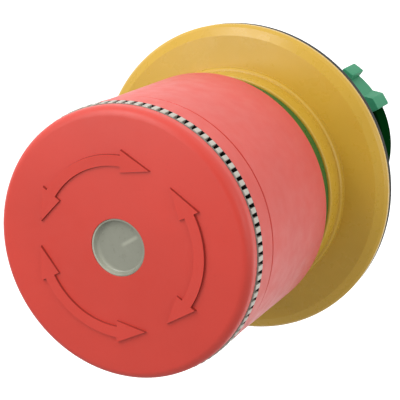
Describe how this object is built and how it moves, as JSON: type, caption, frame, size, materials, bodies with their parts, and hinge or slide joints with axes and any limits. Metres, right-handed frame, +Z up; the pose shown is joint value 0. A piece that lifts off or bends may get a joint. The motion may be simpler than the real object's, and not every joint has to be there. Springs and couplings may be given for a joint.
{
  "type": "emergency stop button",
  "caption": "Panel-mounted emergency stop actuator: red turn-to-release palm head with toothed grip ring and lens, green indicator sleeve, yellow bezel, threaded neck and lock nut.",
  "frame": {"origin": "centre of the panel hole, in the plane of the panel's front face, which is the gasket's rear face", "axes": "+Y is the push direction, from the operator into the panel; +Z is up; the head faces -Y"},
  "size_m": [0.0564, 0.0834, 0.0564],
  "materials": {
    "red_plastic": "satin red moulded plastic",
    "clear_lens": "clear plastic lens",
    "clear_rod": "clear plastic",
    "rubber": "matt black rubber",
    "bright_metal": "bright plated metal",
    "yellow_plastic": "satin yellow moulded plastic",
    "green_plastic": "satin green moulded plastic",
    "black_plastic": "black moulded plastic",
    "nut_plastic": "blue-green moulded plastic",
    "steel": "plain steel",
    "brass": "turned brass"
  },
  "bodies": {
    "base": {"panel_gasket": "rubber", "bezel": "yellow_plastic", "indicator_sleeve": "green_plastic", "mounting_body": "black_plastic", "body_cover": "black_plastic", "cover_screws": "steel", "guide_bush": "brass", "spindle_seal": "rubber", "latch_plate": "steel", "rear_retainer": "black_plastic", "return_spring": "steel", "pawl_spring_left": "steel", "pawl_spring_right": "steel"},
    "push_unit": {"plunger": "black_plastic", "swivel_ring": "steel", "torsion_spring": "steel"},
    "head": {"head_cap": "red_plastic", "lens": "clear_lens", "lens_seal": "rubber", "light_guide": "clear_rod", "grip_ring": "bright_metal", "head_skirt": "red_plastic", "cap_screws": "steel", "spindle": "brass", "spindle_clip": "steel"},
    "pawl_left": {"pawl_left": "steel"},
    "pawl_right": {"pawl_right": "steel"},
    "washer": {"thrust_washer": "steel"},
    "nut": {"lock_nut": "nut_plastic"}
  },
  "joints": [
    {"name": "press", "type": "slide", "parent": "base", "child": "push_unit", "axis": [0, 1, 0], "range_m": [0, 0.0055], "stiffness_N_per_m": 2000, "springref_m": -0.004, "deforming": ["return_spring"]},
    {"name": "turn", "type": "hinge", "parent": "push_unit", "child": "head", "pos_m": [0, 0, 0], "axis": [0, 1, 0], "range_deg": [-45, 45], "stiffness_Nm_per_rad": 0.15, "deforming": ["torsion_spring"]},
    {"name": "pawl_left_slide", "type": "slide", "parent": "base", "child": "pawl_left", "axis": [-1, 0, 0], "range_m": [0, 0.0008], "stiffness_N_per_m": 800, "springref_m": -0.001, "deforming": ["pawl_spring_left"]},
    {"name": "pawl_right_slide", "type": "slide", "parent": "base", "child": "pawl_right", "axis": [1, 0, 0], "range_m": [0, 0.0008], "stiffness_N_per_m": 800, "springref_m": -0.001, "deforming": ["pawl_spring_right"]},
    {"name": "washer_slide", "type": "slide", "parent": "base", "child": "washer", "axis": [0, 1, 0], "range_m": [-0.023, 0.0101]},
    {"name": "nut_spin", "type": "hinge", "parent": "washer", "child": "nut", "pos_m": [0, 0, 0], "axis": [0, 1, 0], "range_deg": [-4140, 1800]}
  ],
  "couplings": [
    {"joint": "washer_slide", "follows": "nut_spin", "m_per_rad": 0.00031831}
  ]
}
